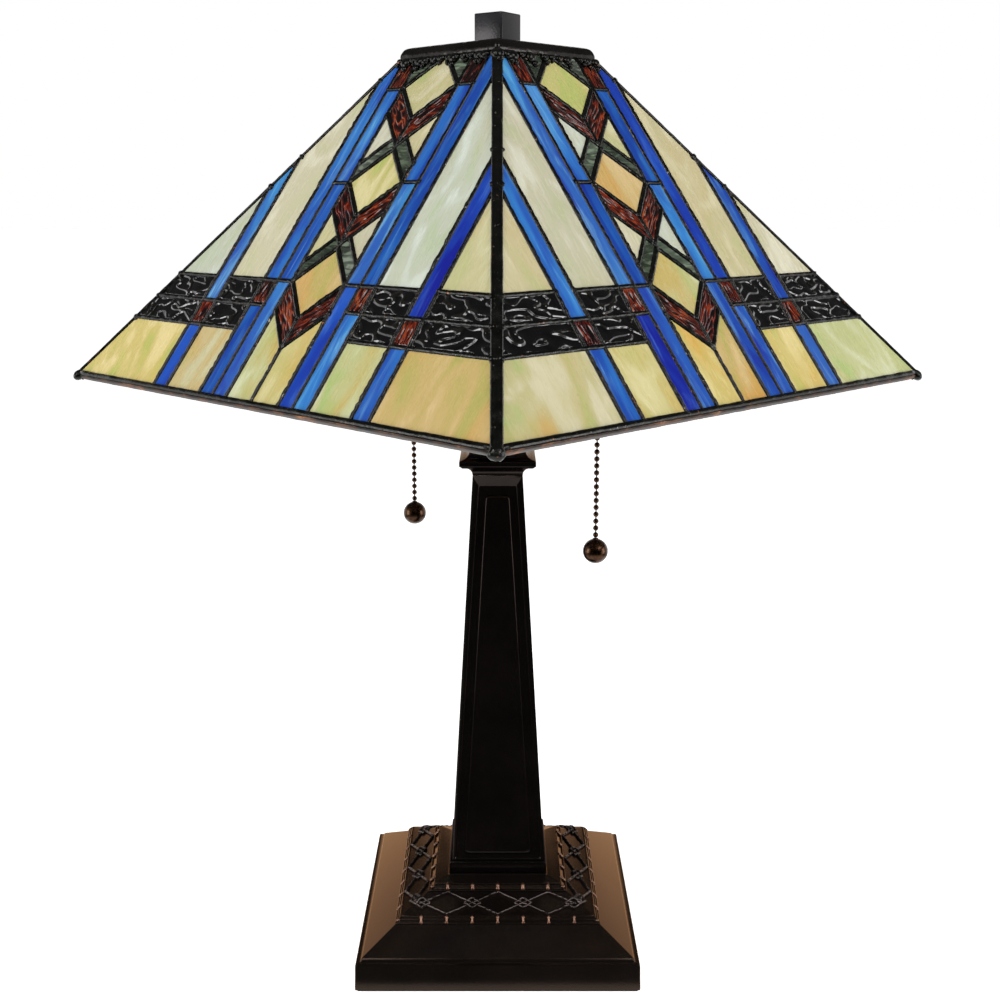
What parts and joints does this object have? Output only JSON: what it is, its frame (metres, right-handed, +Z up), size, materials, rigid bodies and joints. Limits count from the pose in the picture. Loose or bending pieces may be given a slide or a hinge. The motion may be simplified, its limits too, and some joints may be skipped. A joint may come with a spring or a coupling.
{
  "type": "stained glass table lamp",
  "caption": "Table lamp with a square pyramid stained glass shade, tapered square bronze stem, stepped base and pull chain sockets.",
  "frame": {"origin": "centre of the felt's underside, on the surface the lamp stands on", "axes": "+Z up; the base's front face looks towards -Y, and one corner of the shade points to -Y"},
  "size_m": [0.51, 0.51, 0.5625],
  "materials": {
    "dark_bronze": "dark oil-rubbed bronze with copper rub-through",
    "stem_bronze": "very dark glossy bronze",
    "dark_patina": "black patina over solder and came",
    "chain_bronze": "antique bronze",
    "brass": "lacquered brass",
    "steel": "zinc plated steel",
    "cast_iron": "raw casting",
    "felt": "dark felt",
    "black_plastic": "moulded phenolic",
    "insulator": "insulating fibre",
    "bulb_white": "soft white frosted bulb glass",
    "glass_cream": "opalescent cream, faint streaks",
    "glass_amber": "opalescent honey amber with green streaks",
    "glass_blue": "streaky royal to sky blue",
    "glass_red": "deep red ripple",
    "glass_green": "grey green, striated",
    "glass_black": "black, heavily rippled and glossy"
  },
  "bodies": {
    "root": {"base_felt": "felt", "base_shell": "dark_bronze", "base_weight": "cast_iron", "base_washer": "steel", "base_locknut": "brass", "cord_bushing": "black_plastic", "stem_foot": "stem_bronze", "stem_column": "stem_bronze", "stem_capital": "stem_bronze", "lamp_pipe": "steel", "capital_nut": "brass", "cluster_body": "dark_bronze", "riser_pipe": "steel", "shade_seat_nut": "brass", "shade_seat": "steel", "arm_left": "dark_bronze", "socket_cap_left": "brass", "socket_switch_left": "black_plastic", "socket_shell_left": "brass", "socket_liner_left": "insulator", "socket_screw_shell_left": "brass", "socket_contact_left": "brass", "chain_guide_left": "brass", "arm_right": "dark_bronze", "socket_cap_right": "brass", "socket_switch_right": "black_plastic", "socket_shell_right": "brass", "socket_liner_right": "insulator", "socket_screw_shell_right": "brass", "socket_contact_right": "brass", "chain_guide_right": "brass"},
    "bulb_left": {"bulb_base_left": "steel", "bulb_glass_left": "bulb_white"},
    "pull_left": {"pull_link_left": "chain_bronze"},
    "chain_left": {"pull_chain_left": "chain_bronze", "pull_ball_left": "chain_bronze"},
    "bulb_right": {"bulb_base_right": "steel", "bulb_glass_right": "bulb_white"},
    "pull_right": {"pull_link_right": "chain_bronze"},
    "chain_right": {"pull_chain_right": "chain_bronze", "pull_ball_right": "chain_bronze"},
    "shade": {"shade_cap": "dark_patina", "shade_crossbar": "brass", "glass_panel_right_back": "glass_cream", "glass_panel_left_back": "glass_cream", "glass_panel_left_front": "glass_cream", "glass_panel_right_front": "glass_cream", "came_lattice_right_back": "dark_patina", "came_lattice_left_back": "dark_patina", "came_lattice_left_front": "dark_patina", "came_lattice_right_front": "dark_patina", "rim_came_right_back": "dark_patina", "rim_came_left_back": "dark_patina", "rim_came_left_front": "dark_patina", "rim_came_right_front": "dark_patina", "hip_came_right": "dark_patina", "hip_came_back": "dark_patina", "hip_came_left": "dark_patina", "hip_came_front": "dark_patina"},
    "finial": {"finial": "dark_bronze"}
  },
  "joints": [
    {"name": "shade_turn", "type": "hinge", "parent": "root", "child": "shade", "pos_m": [0, 0, 0.5296], "axis": [0, 0, 1], "continuous": true},
    {"name": "finial_turn", "type": "hinge", "parent": "root", "child": "finial", "pos_m": [0, 0, 0.5445], "axis": [0, 0, 1], "continuous": true},
    {"name": "bulb_left_screw", "type": "hinge", "parent": "root", "child": "bulb_left", "pos_m": [-0.03542, 0.0309, 0.429], "axis": [0, 0, 1], "range_deg": [0, 720]},
    {"name": "pull_left_travel", "type": "slide", "parent": "root", "child": "pull_left", "axis": [0, 0, -1], "range_m": [0, 0.012], "stiffness_N_per_m": 800, "springref_m": -0.002},
    {"name": "chain_left_swing", "type": "hinge", "parent": "pull_left", "child": "chain_left", "pos_m": [-0.05396, 0.04983, 0.398], "axis": [-0.6997, 0.7145, 0], "range_deg": [-30, 30]},
    {"name": "bulb_right_screw", "type": "hinge", "parent": "root", "child": "bulb_right", "pos_m": [0.03542, -0.0309, 0.429], "axis": [0, 0, 1], "range_deg": [0, 720]},
    {"name": "pull_right_travel", "type": "slide", "parent": "root", "child": "pull_right", "axis": [0, 0, -1], "range_m": [0, 0.012], "stiffness_N_per_m": 800, "springref_m": -0.002},
    {"name": "chain_right_swing", "type": "hinge", "parent": "pull_right", "child": "chain_right", "pos_m": [0.05669, -0.0467, 0.398], "axis": [0.8028, -0.5962, 0], "range_deg": [-30, 30]}
  ]
}
